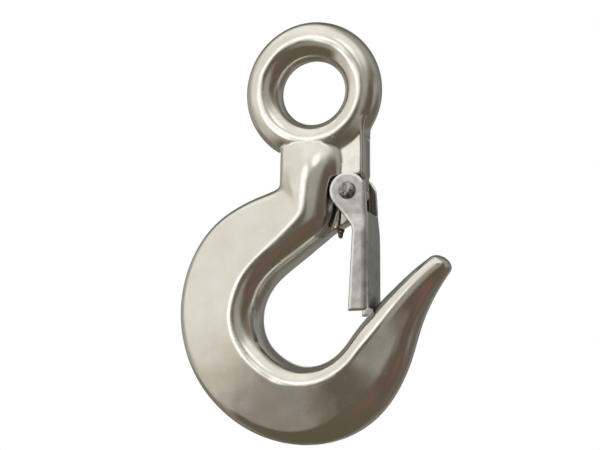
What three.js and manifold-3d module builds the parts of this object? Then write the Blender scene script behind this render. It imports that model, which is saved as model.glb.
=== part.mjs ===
// Lifting hook with a round eye and a sprung safety latch.
// Millimetres. X is to the right, Y is away from the viewer and Z is up.
// The origin is the centre of the eye, and the hook lies in the XZ plane.
// The latch is modelled shut, with its free end on the tip of the hook.

import * as THREE from 'three';
import { mergeVertices } from 'three/addons/utils/BufferGeometryUtils.js';
import Module from 'manifold-3d';

const wasm = await Module();
wasm.setup();

// Eye: a bar bent into a ring, a little thicker over the crown.
const eye_ring_radius = 13.5;
const eye_bar = 9.7;
const eye_crown_bar = 10.5;

// Neck: the upright bar between the eye and the bowl.
const neck_width = 16.6;
const neck_depth = 15.2;
const neck_left_shift = 0.6;
const shoulder_drop = 24.3;

// Bowl and tip: depth is measured through the hook, along Y.
const bowl_drop = 58.6;
const bowl_left_shift = 1.2;
const bowl_radius = 13.6;
const body_width = 22.0;
const body_depth = 16.0;
const back_depth = 10.4;
const rim_round = 6.3;
const back_round = 2.8;
const tip_dome_share = 0.78;

// Rivet, the pin that the latch turns on.
const pivot_offset = 10.65;
const pivot_drop = 27.4;
const rivet_radius = 1.7;
const rivet_hole_clearance = 0.09;
const rivet_head_radius = 2.25;
const rivet_head_height = 1.0;
const rivet_made_head_radius = 2.7;
const rivet_made_head_height = 1.3;
const rivet_head_gap = 0.2;

// Lug: the flat that carries the rivet. Between the spring's coils it thins to a cam, and a
// gusset of the same thickness runs down from the cam to the bowl.
const lug_thickness = 7.4;
const lug_bevel = 0.5;
const cam_thickness = 4.0;
const cam_radius = 3.75;
const cam_shoulder_gap = 0.4;
const gusset_drop = 10.8;
const gusset_corner_shift = 1.2;
const gusset_corner_drop = 8.0;

// Spring: one wire with a coil on each side of the cam.
const wire_diameter = 0.8;
const coil_radius = 2.8;
const coil_pitch = 1.25;
const coil_turns = 1.5;
const coil_side_gap = 0.16;
const loop_foot_share = 0.4;
const loop_corner = 1.1;
const loop_wall_gap = 0.8;
const leg_length = 16.0;
const leg_web_gap = 0.3;

// Latch: sheet steel folded into a channel that flares below its ears.
const latch_sheet = 1.1;
const latch_width = 14.2;
const latch_bend = 1.7;
const ear_radius = 4.95;
const web_offset = 5.55;
const web_top_drop = 5.6;
const ear_overlap = 0.4;
const flare_drop = 11.0;
const flange_shoulder_drop = 9.6;
const flange_shoulder_depth = 4.1;
const flange_end_depth = 5.35;
const flange_tail = 1.2;
const latch_seat_gap = 0.4;

// Number of facets.
const body_steps = 72;
const rim_facets = 8;
const cheek_facets = 2;
const back_facets = 5;
const tip_facets = 5;
const eye_steps = 48;
const eye_facets = 20;
const round_facets = 32;
const bend_facets = 4;
const wire_facets = 5;
const curl_steps = 8;
const corner_facets = 3;
const head_facets = 5;
const flare_facets = 5;

// Fineness of the searches and of the points that measure the spring's gap.
const search_steps = 40;
const merge_distance = 1e-5;
const dots_per_step = 8;

// Places that follow from the sizes above.
const pivot = { x: pivot_offset, z: -pivot_drop };
const neck_right = neck_width / 2 - neck_left_shift;
const neck_left = -neck_width / 2 - neck_left_shift;
const bowl_centre = { x: -bowl_left_shift, z: -bowl_drop };
const coil_width = coil_turns * coil_pitch + wire_diameter;
const ear_inside = cam_thickness / 2 + coil_width + 2 * coil_side_gap;
const ear_outside = ear_inside + latch_sheet;
const quarter_turn = Math.PI / 2;
const full_turn = 2 * Math.PI;

// Helpers that turn rings of points into closed meshes.

function degrees(angle) {
  return angle * Math.PI / 180;
}

function mix(a, b, share) {
  return a + (b - a) * share;
}

// The place between low and high up to which a condition holds.
function bisect(low, high, holds) {
  for (let i = 0; i < search_steps; i += 1) {
    const middle = (low + high) / 2;
    if (holds(middle)) {
      low = middle;
    } else {
      high = middle;
    }
  }
  return low;
}

// Joins rings of points, each ring of the same length, into one closed skin.
// Both ends are closed by triangulating the ring, unless the rings run round in a loop.
function loftGeometry(rings, flatEnds, isLoop = false) {
  const count = rings[0].length;
  const positions = rings.flat(2);
  const indices = [];
  const last = isLoop ? rings.length : rings.length - 1;
  for (let row = 0; row < last; row += 1) {
    const here = row * count;
    const there = ((row + 1) % rings.length) * count;
    for (let side = 0; side < count; side += 1) {
      const next = (side + 1) % count;
      indices.push(here + side, here + next, there + next);
      indices.push(here + side, there + next, there + side);
    }
  }
  if (!isLoop) {
    const top = (rings.length - 1) * count;
    for (const [a, b, c] of THREE.ShapeUtils.triangulateShape(flatEnds, [])) {
      indices.push(a, c, b);
      indices.push(top + a, top + b, top + c);
    }
  }
  const geometry = new THREE.BufferGeometry();
  geometry.setAttribute('position', new THREE.Float32BufferAttribute(positions, 3));
  geometry.setIndex(indices);
  return geometry;
}

// A closed mesh as a solid for cutting and joining, turned right side out if need be.
function solidOf(geometry) {
  const bare = geometry.clone();
  bare.deleteAttribute('normal');
  bare.deleteAttribute('uv');
  const merged = mergeVertices(bare, merge_distance);
  const triangles = Uint32Array.from(merged.index.array);
  const points = Float32Array.from(merged.attributes.position.array);
  if (signedVolume(points, triangles) < 0) {
    for (let i = 0; i < triangles.length; i += 3) {
      [triangles[i], triangles[i + 1]] = [triangles[i + 1], triangles[i]];
    }
  }
  return new wasm.Manifold(new wasm.Mesh({ numProp: 3, vertProperties: points, triVerts: triangles }));
}

function signedVolume(points, triangles) {
  const corner = (i) => new THREE.Vector3().fromArray(points, 3 * triangles[i]);
  let volume = 0;
  for (let i = 0; i < triangles.length; i += 3) {
    volume += corner(i).dot(corner(i + 1).cross(corner(i + 2)));
  }
  return volume;
}

function geometryOf(solid) {
  const mesh = solid.getMesh();
  const geometry = new THREE.BufferGeometry();
  geometry.setAttribute('position', new THREE.BufferAttribute(mesh.vertProperties, 3));
  geometry.setIndex(new THREE.BufferAttribute(mesh.triVerts, 1));
  geometry.computeVertexNormals();
  return geometry;
}

// A plate whose outline is drawn in X and Z, centred on Y = middle.
function plateGeometry(shape, thickness, middle, bevel = 0) {
  const geometry = new THREE.ExtrudeGeometry(shape, {
    depth: thickness - 2 * bevel,
    bevelEnabled: bevel > 0,
    bevelThickness: bevel,
    bevelSize: bevel,
    bevelOffset: -bevel,
    bevelSegments: 1,
    curveSegments: round_facets / 4,
  });
  geometry.translate(0, 0, bevel - thickness / 2);
  geometry.rotateX(quarter_turn);
  geometry.translate(0, middle, 0);
  return geometry;
}

// A round rod along Y through the latch's pivot.
function rodAtPivot(radius, length) {
  const geometry = new THREE.CylinderGeometry(radius, radius, length, round_facets);
  geometry.translate(pivot.x, 0, pivot.z);
  return geometry;
}

// Hook body.

// Stations of the neck, from inside the eye's bar down to the shoulder.
// Each row holds the drop of the inner and of the outer edge as shares of the shoulder's drop,
// then the shares of the right edge, of the depth, of the back's depth and of the rounding.
const neck_shares = [
  [0.49, 0.49, 1.08, 0.55, 0.70, 1.03],
  [0.68, 0.66, 1.16, 0.80, 0.90, 1.07],
  [0.88, 0.80, 1.12, 0.96, 1.00, 1.05],
  [1.11, 0.92, 0.93, 1.00, 1.05, 1.00],
  [1.33, 1.00, 0.88, 1.04, 1.05, 1.00],
];

// Stations of the bowl and the tip. The inner edge is a polar point about the bowl's centre,
// and the section runs from it at its own heading, in degrees anticlockwise from +X.
// Each row holds the angle, the radius share, the heading, and the shares of the width, of the
// depth and of the rim's rounding.
const bowl_shares = [
  [73.0, 1.58, 139.0, 0.88, 1.00, 1.22],
  [84.0, 1.28, 133.0, 0.92, 1.00, 1.10],
  [99.0, 1.05, 134.5, 1.01, 1.00, 1.03],
  [121.0, 0.95, 141.0, 1.07, 1.00, 1.00],
  [143.0, 0.95, 150.5, 1.06, 1.00, 1.00],
  [165.0, 0.96, 162.0, 1.04, 1.00, 1.00],
  [186.0, 0.98, 175.0, 1.02, 1.00, 1.00],
  [207.0, 0.98, 188.5, 1.01, 1.00, 1.00],
  [226.5, 0.96, 202.5, 1.02, 1.00, 1.00],
  [245.5, 0.97, 217.0, 1.01, 1.00, 1.00],
  [264.0, 1.00, 233.0, 1.00, 1.00, 1.00],
  [283.5, 1.00, 251.0, 1.01, 1.00, 1.00],
  [302.0, 0.99, 269.0, 1.01, 1.00, 1.00],
  [321.0, 0.97, 287.0, 0.99, 0.98, 0.98],
  [341.0, 0.99, 301.0, 0.92, 0.95, 0.94],
  [359.5, 1.23, 310.0, 0.75, 0.90, 0.86],
  [370.5, 1.53, 316.0, 0.56, 0.80, 0.76],
  [377.5, 1.90, 320.5, 0.44, 0.68, 0.66],
  [381.5, 2.27, 322.5, 0.36, 0.56, 0.57],
  [383.0, 2.56, 321.5, 0.30, 0.46, 0.52],
];

// One row of eight numbers for each station: both edges, both depths and both roundings.
function neckStation([inner_share, outer_share, right_share, depth_share, back_share, round_share]) {
  return [
    neck_right * right_share, -shoulder_drop * inner_share,
    neck_left, -shoulder_drop * outer_share,
    neck_depth * depth_share, back_depth * back_share,
    neck_width / 2 * round_share, back_round,
  ];
}

function bowlStation([angle, radius_share, heading, width_share, depth_share, round_share]) {
  const reach = bowl_radius * radius_share;
  const width = body_width * width_share;
  const x = bowl_centre.x + reach * Math.cos(degrees(angle));
  const z = bowl_centre.z + reach * Math.sin(degrees(angle));
  const rounding = rim_round * round_share;
  return [
    x, z,
    x + width * Math.cos(degrees(heading)), z + width * Math.sin(degrees(heading)),
    body_depth * depth_share, Math.min(back_depth, body_depth * depth_share),
    rounding, Math.max(back_round, rounding - back_round * depth_share),
  ];
}

const stations = [...neck_shares.map(neckStation), ...bowl_shares.map(bowlStation)];

// A smooth curve through the stations' rows: a uniform cubic B-spline that starts and ends on them.
function stationAt(share) {
  const place = Math.min(share, 1) * (stations.length - 1);
  const span = Math.min(Math.floor(place), stations.length - 2);
  const t = place - span;
  const weights = [
    (1 - t) ** 3 / 6,
    (3 * t ** 3 - 6 * t ** 2 + 4) / 6,
    (-3 * t ** 3 + 3 * t ** 2 + 3 * t + 1) / 6,
    t ** 3 / 6,
  ];
  const rowAt = (index) => {
    if (index < 0) {
      return stations[0].map((value, i) => 2 * value - stations[1][i]);
    }
    if (index >= stations.length) {
      return stations.at(-1).map((value, i) => 2 * value - stations.at(-2)[i]);
    }
    return stations[index];
  };
  const rows = [rowAt(span - 1), rowAt(span), rowAt(span + 1), rowAt(span + 2)];
  return rows[0].map((_, i) => rows.reduce((sum, row, k) => sum + weights[k] * row[i], 0));
}

// Half of a section, from the rim's crest to the back's crest: the hull of a deep ellipse at
// the rim and a shallow one at the back. Points are the run from the crest and the half depth.
function halfSection(width, depth, backDepth, rimRound, backRound) {
  const rimCentre = rimRound;
  const backCentre = Math.max(width - backRound, rimCentre);
  const reach = (across, half, angle) => Math.hypot(across * Math.cos(angle), half * Math.sin(angle));
  const rim = (angle) => {
    const size = reach(rimRound, depth / 2, angle);
    const out = depth ** 2 / 4 * Math.sin(angle) / size;
    return [rimCentre + rimRound ** 2 * Math.cos(angle) / size, out];
  };
  const back = (angle) => {
    const size = reach(backRound, backDepth / 2, angle);
    const out = backDepth ** 2 / 4 * Math.sin(angle) / size;
    return [backCentre + backRound ** 2 * Math.cos(angle) / size, out];
  };
  const touch = bisect(0, Math.PI, (angle) => {
    const run = (backCentre - rimCentre) * Math.cos(angle);
    return run + reach(backRound, backDepth / 2, angle) > reach(rimRound, depth / 2, angle);
  });
  const points = [];
  for (let i = 0; i <= rim_facets; i += 1) {
    points.push(rim(mix(Math.PI, touch, i / rim_facets)));
  }
  const [start, end] = [rim(touch), back(touch)];
  for (let i = 1; i < cheek_facets; i += 1) {
    points.push([mix(start[0], end[0], i / cheek_facets), mix(start[1], end[1], i / cheek_facets)]);
  }
  for (let i = 0; i <= back_facets; i += 1) {
    points.push(back(mix(touch, 0, i / back_facets)));
  }
  return points;
}

// The whole section as points in space, once round from the rim's crest.
function sectionRing(row) {
  const [innerX, innerZ, outerX, outerZ, depth, backDepth, rimRound, backRound] = row;
  const width = Math.hypot(outerX - innerX, outerZ - innerZ);
  const along = [(outerX - innerX) / width, (outerZ - innerZ) / width];
  const roundLimit = Math.min(rimRound, width / 2);
  const half = halfSection(width, depth, backDepth, roundLimit, backRound);
  const front = half.map(([run, out]) => [innerX + along[0] * run, -out, innerZ + along[1] * run]);
  const rear = half.slice(1, -1).reverse();
  return [...front, ...rear.map(([run, out]) => [innerX + along[0] * run, out, innerZ + along[1] * run])];
}

function flatOutline(count) {
  return Array.from({ length: count }, (_, i) => {
    const angle = full_turn * i / count;
    return new THREE.Vector2(Math.cos(angle), Math.sin(angle));
  });
}

function bodyLoft() {
  const rings = [];
  for (let i = 0; i <= body_steps; i += 1) {
    rings.push(sectionRing(stationAt(i / body_steps)));
  }
  const end = stationAt(1);
  const before = stationAt(1 - 1 / body_steps);
  const middle = [(end[0] + end[2]) / 2, (end[1] + end[3]) / 2];
  const ahead = new THREE.Vector2(...middle);
  ahead.sub(new THREE.Vector2((before[0] + before[2]) / 2, (before[1] + before[3]) / 2));
  ahead.normalize();
  const reach = Math.hypot(end[2] - end[0], end[3] - end[1]) / 2;
  const last = rings.at(-1);
  for (let i = 1; i <= tip_facets; i += 1) {
    const angle = quarter_turn * i / (tip_facets + 1 / 2);
    const shrink = Math.cos(angle);
    const lead = reach * tip_dome_share * Math.sin(angle);
    rings.push(last.map(([x, y, z]) => [
      mix(middle[0], x, shrink) + ahead.x * lead,
      y * shrink,
      mix(middle[1], z, shrink) + ahead.y * lead,
    ]));
  }
  return solidOf(loftGeometry(rings, flatOutline(rings[0].length)));
}

function eyeRing() {
  const rings = [];
  for (let i = 0; i < eye_steps; i += 1) {
    const turn = full_turn * i / eye_steps;
    const rise = Math.max(Math.sin(turn), 0);
    const bar_radius = mix(eye_bar, eye_crown_bar, rise ** 2) / 2;
    const ring = [];
    for (let side = 0; side < eye_facets; side += 1) {
      const angle = full_turn * side / eye_facets;
      const reach = eye_ring_radius + bar_radius * Math.cos(angle);
      ring.push([reach * Math.cos(turn), bar_radius * Math.sin(angle), reach * Math.sin(turn)]);
    }
    rings.push(ring);
  }
  return solidOf(loftGeometry(rings, [], true));
}

// Outline of the lug from the middle of the eye's bar down, closed by its lower points.
function lugShape(lower) {
  const root = -neck_left_shift;
  const barLevel = (x) => -Math.sqrt(eye_ring_radius ** 2 - x ** 2);
  return new THREE.Shape([
    new THREE.Vector2(root, barLevel(root)),
    new THREE.Vector2(pivot.x, barLevel(pivot.x)),
    new THREE.Vector2(pivot.x + cam_radius, barLevel(pivot.x)),
    ...lower,
    new THREE.Vector2(root, lower.at(-1).y),
  ]);
}

// The gusset's lower edge: from the inner edge of the bowl to a corner below the rivet.
function gussetEdge() {
  const level = pivot.z - gusset_drop;
  const share = bisect(0, 1 / 2, (place) => stationAt(place)[1] > level);
  const wall = new THREE.Vector2(stationAt(share)[0], level);
  const corner = new THREE.Vector2(pivot.x - gusset_corner_shift, pivot.z - gusset_corner_drop);
  return [wall, corner];
}

// Lower points of the cam: round about the rivet, then along the gusset's edge.
function camPoints() {
  const [wall, corner] = gussetEdge();
  const arm = new THREE.Vector2(-gusset_corner_shift, -gusset_corner_drop);
  const touch = arm.angle() + Math.acos(cam_radius / arm.length());
  const steps = round_facets / 4;
  const points = [];
  for (let i = 0; i <= steps; i += 1) {
    const angle = mix(0, touch - full_turn, i / steps);
    const x = pivot.x + cam_radius * Math.cos(angle);
    points.push(new THREE.Vector2(x, pivot.z + cam_radius * Math.sin(angle)));
  }
  return [...points, corner, wall];
}

function hookBody() {
  const shoulder = pivot.z + coil_radius + wire_diameter / 2 + cam_shoulder_gap;
  const front = new THREE.Vector2(pivot.x + cam_radius, shoulder);
  const lug = solidOf(plateGeometry(lugShape([front]), lug_thickness, 0, lug_bevel));
  const cam = solidOf(plateGeometry(lugShape(camPoints()), cam_thickness, 0));
  const bore = solidOf(rodAtPivot(rivet_radius + rivet_hole_clearance, 2 * body_depth));
  return geometryOf(bodyLoft().add(eyeRing()).add(lug).add(cam).subtract(bore));
}

// Latch. Its own heights are measured down from the rivet's axis.

// The inner edge of the hook where it crosses a given X on the tip's side.
function tipHeightAt(x) {
  const share = bisect(1 / 2, 1, (place) => stationAt(place)[0] < x);
  return stationAt(share)[1];
}

const web_length = pivot.z - (tipHeightAt(pivot.x + web_offset) + latch_seat_gap);
const latch_length = web_length + flange_tail;

// The angle at which a straight edge from a corner touches the round ear.
function earTangent(x, drop, turn) {
  const corner = new THREE.Vector2(x, -drop);
  return corner.angle() + turn * Math.acos(ear_radius / corner.length());
}

// Left edge of the flange, as an offset from the rivet, at a given drop.
function flangeEdge(drop) {
  const shoulder = web_offset - flange_shoulder_depth;
  if (drop >= flange_shoulder_drop) {
    const share = (drop - flange_shoulder_drop) / (latch_length - flange_shoulder_drop);
    return mix(shoulder, web_offset - flange_end_depth, share);
  }
  const angle = earTangent(shoulder, flange_shoulder_drop, -1);
  const start = -ear_radius * Math.sin(angle);
  return mix(ear_radius * Math.cos(angle), shoulder, (drop - start) / (flange_shoulder_drop - start));
}

function latchHalfWidth(drop) {
  const share = THREE.MathUtils.smoothstep(drop, web_top_drop + ear_overlap, flare_drop);
  return mix(ear_outside, Math.max(latch_width / 2, ear_outside), share);
}

// Points of one bend of the folded sheet, in X and Y.
function bendPoints(side, half, radius, from, to) {
  return Array.from({ length: bend_facets + 1 }, (_, i) => {
    const angle = mix(from, to, i / bend_facets);
    const out = side * (half - latch_bend) + radius * Math.sin(angle);
    return [web_offset - latch_bend + radius * Math.cos(angle), out];
  });
}

// One level of the channel: a U open to the left, as points in X and Y.
function channelOutline(drop) {
  const half = latchHalfWidth(drop);
  const left = flangeEdge(drop);
  const inner_bend = latch_bend - latch_sheet;
  return [
    [left, -half],
    ...bendPoints(-1, half, latch_bend, -quarter_turn, 0),
    ...bendPoints(1, half, latch_bend, 0, quarter_turn),
    [left, half],
    [left, half - latch_sheet],
    ...bendPoints(1, half, inner_bend, quarter_turn, 0),
    ...bendPoints(-1, half, inner_bend, 0, -quarter_turn),
    [left, latch_sheet - half],
  ];
}

// A prism along Z between two drops, from an outline in X and Y about the rivet.
function uprightPrism(outline, drops) {
  const rings = drops.map((drop) => outline.map(([x, y]) => [pivot.x + x, y, pivot.z - drop]));
  return solidOf(loftGeometry(rings, outline.map(([x, y]) => new THREE.Vector2(x, y))));
}

function latchChannel() {
  const drops = [web_top_drop];
  for (let i = 0; i <= flare_facets; i += 1) {
    drops.push(mix(web_top_drop + ear_overlap, flare_drop, i / flare_facets));
  }
  drops.push(flange_shoulder_drop, latch_length);
  drops.sort((a, b) => a - b);
  const rings = drops.map((drop) => channelOutline(drop).map(([x, y]) => [pivot.x + x, y, pivot.z - drop]));
  const flat = channelOutline(web_top_drop).map(([x, y]) => new THREE.Vector2(x, y));
  const channel = solidOf(loftGeometry(rings, flat));
  // The web stops on the tip's crest, and the flanges run on a little at either side of it.
  const half = latchHalfWidth(latch_length) - latch_bend;
  const notch = [
    [web_offset - latch_bend, -half], [web_offset + latch_bend, -half],
    [web_offset + latch_bend, half], [web_offset - latch_bend, half],
  ];
  return channel.subtract(uprightPrism(notch, [web_length, latch_length + latch_bend]));
}

// Outline of an ear: round about the rivet, with a straight edge to each side of the channel.
function earShape() {
  const lowest = web_top_drop + ear_overlap;
  const start = earTangent(web_offset, lowest, 1);
  const end = earTangent(web_offset - flange_shoulder_depth, flange_shoulder_drop, -1);
  const shape = new THREE.Shape();
  shape.moveTo(pivot.x + flangeEdge(lowest), pivot.z - lowest);
  shape.lineTo(pivot.x + web_offset, pivot.z - lowest);
  shape.absarc(pivot.x, pivot.z, ear_radius, start, end, false);
  return shape;
}

// What the ears may fill: the channel's outside, with its bends carried up past the ears.
function earTrim() {
  const left = -2 * ear_radius;
  const outline = [
    [left, -ear_outside],
    ...bendPoints(-1, ear_outside, latch_bend, -quarter_turn, 0),
    ...bendPoints(1, ear_outside, latch_bend, 0, quarter_turn),
    [left, ear_outside],
  ];
  return uprightPrism(outline, [-2 * ear_radius, 2 * flange_shoulder_drop]);
}

function latch() {
  const middle = ear_outside - latch_sheet / 2;
  const bore = solidOf(rodAtPivot(rivet_radius + rivet_hole_clearance, 2 * latch_width));
  const near = solidOf(plateGeometry(earShape(), latch_sheet, -middle));
  const far = solidOf(plateGeometry(earShape(), latch_sheet, middle));
  const ears = near.add(far).intersect(earTrim());
  return geometryOf(latchChannel().add(ears).subtract(bore));
}

// Rivet: a plain shank with a peened head in front and a made head behind.
function latchRivet() {
  const seat = ear_outside + rivet_head_gap;
  const profile = [];
  for (let i = 0; i <= head_facets; i += 1) {
    const angle = quarter_turn * i / head_facets;
    const out = seat + rivet_head_height * Math.cos(angle);
    profile.push(new THREE.Vector2(rivet_head_radius * Math.sin(angle), -out));
  }
  profile.push(new THREE.Vector2(rivet_radius, -seat), new THREE.Vector2(rivet_radius, seat));
  for (let i = 0; i <= head_facets; i += 1) {
    const angle = quarter_turn * i / head_facets;
    const out = seat + rivet_made_head_height * Math.sin(angle);
    profile.push(new THREE.Vector2(rivet_made_head_radius * Math.cos(angle), out));
  }
  profile[0].x = 0;
  profile.at(-1).x = 0;
  const geometry = new THREE.LatheGeometry(profile, round_facets);
  geometry.translate(pivot.x, 0, pivot.z);
  return geometryOf(solidOf(geometry));
}

// Spring.

// The loop's foot lies below the gusset's edge by the wire's radius and a gap.
function loopFoot() {
  const [wall, corner] = gussetEdge();
  const run = corner.clone().sub(wall).normalize();
  const foot = wall.lerp(corner, loop_foot_share);
  const off = wire_diameter / 2 + loop_wall_gap;
  return { x: foot.x + run.y * off, z: foot.y - run.x * off };
}

// Half of the wire's middle line, from the middle of the loop to the end of one leg.
function wireHalf(side) {
  const loop_y = cam_thickness / 2 + coil_side_gap + wire_diameter / 2;
  const coil_end = loop_y + coil_turns * coil_pitch;
  const foot = loopFoot();
  const web_x = pivot.x + web_offset - latch_sheet - leg_web_gap - wire_diameter / 2;
  const points = [];
  for (let i = 0; i <= corner_facets; i += 1) {
    const angle = quarter_turn * i / corner_facets;
    const out = loop_y - loop_corner + loop_corner * Math.sin(angle);
    points.push([foot.x, side * out, foot.z + loop_corner * (1 - Math.cos(angle))]);
  }
  const steps = curl_steps * coil_turns;
  for (let i = 0; i <= steps; i += 1) {
    const angle = Math.PI - full_turn * i / curl_steps;
    const out = mix(loop_y, coil_end, i / steps);
    const x = pivot.x + coil_radius * Math.cos(angle);
    points.push([x, side * out, pivot.z + coil_radius * Math.sin(angle)]);
  }
  points.push([web_x, side * coil_end, pivot.z - leg_length + wire_diameter]);
  points.push([web_x, side * coil_end, pivot.z - leg_length]);
  return points.map(([x, y, z]) => new THREE.Vector3(x, y, z));
}

// A round tube along a list of points, in one unbroken skin.
function tubeGeometry(points, radius) {
  const rings = [];
  let across = new THREE.Vector3(1, 0, 0);
  for (let i = 0; i < points.length; i += 1) {
    const before = points[Math.max(i - 1, 0)];
    const after = points[Math.min(i + 1, points.length - 1)];
    const ahead = after.clone().sub(before).normalize();
    across = across.clone().addScaledVector(ahead, -across.dot(ahead)).normalize();
    const up = new THREE.Vector3().crossVectors(ahead, across);
    rings.push(Array.from({ length: wire_facets }, (_, side) => {
      const angle = full_turn * side / wire_facets;
      const point = points[i].clone();
      point.addScaledVector(across, radius * Math.cos(angle));
      point.addScaledVector(up, radius * Math.sin(angle));
      return point.toArray();
    }));
  }
  return loftGeometry(rings, flatOutline(wire_facets));
}

// The least gap between parts of the wire that are more than half a curl apart.
function leastGap(points) {
  const dots = [];
  for (let i = 0; i + 1 < points.length; i += 1) {
    for (let k = 0; k < dots_per_step; k += 1) {
      dots.push(points[i].clone().lerp(points[i + 1], k / dots_per_step));
    }
  }
  const apart = curl_steps / 2 * dots_per_step;
  let least = Infinity;
  for (let a = 0; a < dots.length; a += 1) {
    for (let b = a + apart; b < dots.length; b += 1) {
      least = Math.min(least, dots[a].distanceTo(dots[b]));
    }
  }
  return least - wire_diameter;
}

function latchSpring() {
  const near = wireHalf(-1);
  const far = wireHalf(1);
  const points = [...near.reverse(), ...far];
  console.log(`spring: least gap of the wire to itself ${leastGap(points).toFixed(3)} mm`);
  return geometryOf(solidOf(tubeGeometry(points, wire_diameter / 2)));
}

// Materials and assembly.

const polished_steel = new THREE.MeshStandardMaterial({ color: 0xc9c5bb, roughness: 0.12, metalness: 1 });
const satin_steel = new THREE.MeshStandardMaterial({ color: 0xb4b3ae, roughness: 0.38, metalness: 1 });
const peened_steel = new THREE.MeshStandardMaterial({ color: 0x8f8d88, roughness: 0.5, metalness: 1 });
const spring_steel = new THREE.MeshStandardMaterial({ color: 0x5c5750, roughness: 0.3, metalness: 1 });

function addPiece(group, name, geometry, material) {
  const mesh = new THREE.Mesh(geometry, material);
  mesh.name = name;
  group.add(mesh);
}

const hook = new THREE.Group();
addPiece(hook, 'hook_body', hookBody(), polished_steel);
addPiece(hook, 'latch', latch(), satin_steel);
addPiece(hook, 'latch_rivet', latchRivet(), peened_steel);
addPiece(hook, 'latch_spring', latchSpring(), spring_steel);

export default hook;
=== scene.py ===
# %% [markdown]
# # A polished lifting hook with a sprung latch
#
# The real object is one forging of stainless steel: a round eye, a neck, a deep bowl and a
# blunt tip. A folded sheet latch turns on a rivet through the neck's lug, and one wire spring
# holds it shut against the tip.
#
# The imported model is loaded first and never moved. Every piece below is made in the same frame,
# in millimetres, and scaled to metres when its mesh is written.

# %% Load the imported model
import math

import bmesh
import bpy
import numpy as np
from mathutils import Matrix, Vector, noise


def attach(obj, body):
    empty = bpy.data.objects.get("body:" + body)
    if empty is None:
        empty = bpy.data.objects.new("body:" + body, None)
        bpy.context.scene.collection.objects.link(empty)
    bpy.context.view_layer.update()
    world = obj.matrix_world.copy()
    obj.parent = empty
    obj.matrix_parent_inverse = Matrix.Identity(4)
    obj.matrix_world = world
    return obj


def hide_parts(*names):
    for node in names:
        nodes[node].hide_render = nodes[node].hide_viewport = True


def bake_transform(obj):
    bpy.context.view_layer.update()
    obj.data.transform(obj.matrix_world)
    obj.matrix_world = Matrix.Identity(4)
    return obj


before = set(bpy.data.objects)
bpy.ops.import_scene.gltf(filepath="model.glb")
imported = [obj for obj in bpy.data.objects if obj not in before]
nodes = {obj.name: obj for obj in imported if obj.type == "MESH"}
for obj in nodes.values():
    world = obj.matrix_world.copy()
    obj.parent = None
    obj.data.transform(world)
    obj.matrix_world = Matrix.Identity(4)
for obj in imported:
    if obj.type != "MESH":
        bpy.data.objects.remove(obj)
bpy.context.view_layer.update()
metres_per_mm = 0.001

# %% [markdown]
# ## Camera
#
# The picture was taken with a long lens from the latch's side and a little from below. A long
# lens keeps the eye and the bowl at nearly the same scale, so the camera stands far off and the
# focal length is large. The aim is set off a little from the middle of the hook, which puts the
# hook where it lies in the picture without any lens shift.

# %% Place the camera
camera_turn = math.radians(17.0)
camera_rise = math.radians(-8.5)
camera_distance = 0.700
hook_middle = Vector((0.0, 0.0, -0.036))
aim_left = 0.00372
aim_up = 0.00091

out = Vector((
    math.sin(camera_turn) * math.cos(camera_rise),
    -math.cos(camera_turn) * math.cos(camera_rise),
    math.sin(camera_rise),
))
to_right = Vector((math.cos(camera_turn), math.sin(camera_turn), 0.0))
to_top = out.cross(to_right)
aim = hook_middle - to_right * aim_left + to_top * aim_up

camera_data = bpy.data.cameras.new("camera")
camera_data.sensor_width = 36.0
camera_data.lens = 161.5
camera_data.clip_end = 20.0
camera = bpy.data.objects.new("camera", camera_data)
camera.location = hook_middle + out * camera_distance
camera.rotation_euler = (aim - camera.location).to_track_quat("-Z", "Y").to_euler()
bpy.context.scene.collection.objects.link(camera)
bpy.context.scene.camera = camera
bpy.context.scene.view_settings.view_transform = "Standard"
print("camera stands at", [round(value, 3) for value in camera.location])

# %% [markdown]
# ## Room
#
# Polished steel has almost no colour of its own: what it shows is the room. A lamp could give
# only one highlight, so the room itself is built, in the world's shader. It is worked out from
# the direction alone. A large soft window fills the upper left, dark warm walls fill the right,
# and a dark olive floor lies below. Each is a cone of directions with a soft rim, laid over the
# ones before it. Brightness 1 is white paper.

# %% Build the room


def direction_of(turn, rise):
    """Unit vector of a direction. Turn 0 is in front of the hook, towards -Y, and grows to +X."""
    flat = math.cos(math.radians(rise))
    return (
        math.sin(math.radians(turn)) * flat,
        -math.cos(math.radians(turn)) * flat,
        math.sin(math.radians(rise)),
    )


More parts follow.
